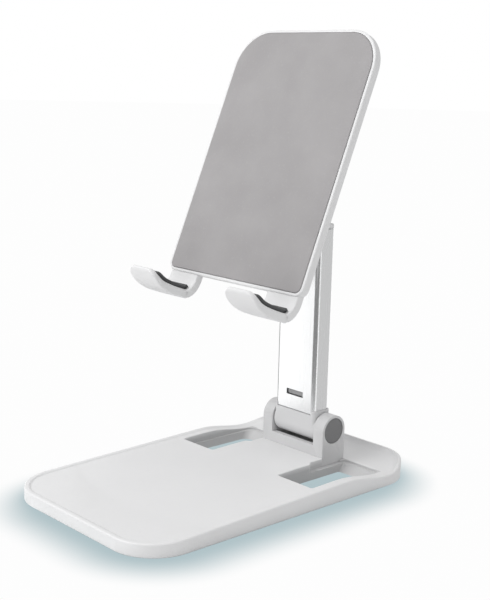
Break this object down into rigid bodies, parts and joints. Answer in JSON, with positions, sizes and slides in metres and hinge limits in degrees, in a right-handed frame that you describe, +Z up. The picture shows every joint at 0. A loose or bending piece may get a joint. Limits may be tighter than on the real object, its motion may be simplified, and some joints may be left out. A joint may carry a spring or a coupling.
{
  "type": "phone stand",
  "caption": "Folding desk stand for a phone: wedge base tray with hook cutouts, hinged telescoping column and a padded tilting cradle with front hooks.",
  "frame": {"origin": "centre of the base tray's footprint, on the table", "axes": "+Z up; -Y towards the user, the way the cradle faces; +Y towards the rear lip and column; +X to the user's right"},
  "size_m": [0.0682, 0.1104, 0.1394],
  "materials": {
    "base_shell": "fine satin moulded surface",
    "bottom_cover": "fine satin moulded surface",
    "ballast_plate": "plain mill surface",
    "foot_pad_front": "matte silicone",
    "foot_pad_left": "matte silicone",
    "foot_pad_right": "matte silicone",
    "cover_screw_front_left": "bright zinc plated",
    "cover_screw_front_right": "bright zinc plated",
    "cover_screw_rear_left": "bright zinc plated",
    "cover_screw_rear_right": "bright zinc plated",
    "hinge_fork": "fine satin moulded surface",
    "fork_screw_left": "bright zinc plated",
    "fork_screw_right": "bright zinc plated",
    "base_axle": "bright zinc plated",
    "base_nut": "bright zinc plated",
    "base_spring_washer": "oiled spring steel",
    "base_cap_left": "satin moulded surface",
    "base_cap_right": "satin moulded surface",
    "column_knuckle": "fine satin moulded surface",
    "tube_lock_clip": "satin moulded surface",
    "column_tube": "fine satin anodised",
    "tube_collar": "fine satin moulded surface",
    "column_slider": "fine satin anodised",
    "friction_spring": "bright zinc plated",
    "slider_head": "fine satin moulded surface",
    "head_pin": "bright zinc plated",
    "cradle_frame": "fine satin moulded surface",
    "cradle_pad": "matte silicone",
    "hook_liner_left": "matte silicone",
    "hook_liner_right": "matte silicone",
    "cradle_yoke": "satin powder coat",
    "yoke_screw_lower_left": "bright zinc plated",
    "yoke_screw_lower_right": "bright zinc plated",
    "yoke_screw_upper_left": "bright zinc plated",
    "yoke_screw_upper_right": "bright zinc plated",
    "pivot_axle": "bright zinc plated",
    "pivot_nut": "bright zinc plated",
    "pivot_spring_washer": "oiled spring steel",
    "pivot_cap_left": "fine satin moulded surface",
    "pivot_cap_right": "fine satin moulded surface"
  },
  "bodies": {
    "base": {"base_shell": "base_shell", "bottom_cover": "bottom_cover", "ballast_plate": "ballast_plate", "foot_pad_front": "foot_pad_front", "foot_pad_left": "foot_pad_left", "foot_pad_right": "foot_pad_right", "cover_screw_front_left": "cover_screw_front_left", "cover_screw_front_right": "cover_screw_front_right", "cover_screw_rear_left": "cover_screw_rear_left", "cover_screw_rear_right": "cover_screw_rear_right", "hinge_fork": "hinge_fork", "fork_screw_left": "fork_screw_left", "fork_screw_right": "fork_screw_right", "base_axle": "base_axle", "base_nut": "base_nut", "base_spring_washer": "base_spring_washer", "base_cap_left": "base_cap_left", "base_cap_right": "base_cap_right"},
    "column": {"column_knuckle": "column_knuckle", "tube_lock_clip": "tube_lock_clip", "column_tube": "column_tube", "tube_collar": "tube_collar"},
    "slider": {"column_slider": "column_slider", "friction_spring": "friction_spring", "slider_head": "slider_head", "head_pin": "head_pin"},
    "cradle": {"cradle_frame": "cradle_frame", "cradle_pad": "cradle_pad", "hook_liner_left": "hook_liner_left", "hook_liner_right": "hook_liner_right", "cradle_yoke": "cradle_yoke", "yoke_screw_lower_left": "yoke_screw_lower_left", "yoke_screw_lower_right": "yoke_screw_lower_right", "yoke_screw_upper_left": "yoke_screw_upper_left", "yoke_screw_upper_right": "yoke_screw_upper_right", "pivot_axle": "pivot_axle", "pivot_nut": "pivot_nut", "pivot_spring_washer": "pivot_spring_washer", "pivot_cap_left": "pivot_cap_left", "pivot_cap_right": "pivot_cap_right"}
  },
  "joints": [
    {"name": "base_fold", "type": "hinge", "parent": "base", "child": "column", "pos_m": [0, 0.03655, 0.01373], "axis": [1, 0, 0], "range_deg": [-10, 50]},
    {"name": "column_slide", "type": "slide", "parent": "column", "child": "slider", "axis": [0, 0, 1], "range_m": [-0.03, 0.004]},
    {"name": "cradle_tilt", "type": "hinge", "parent": "slider", "child": "cradle", "pos_m": [0, 0.03655, 0.12576], "axis": [1, 0, 0], "range_deg": [-157, 22.5]}
  ]
}
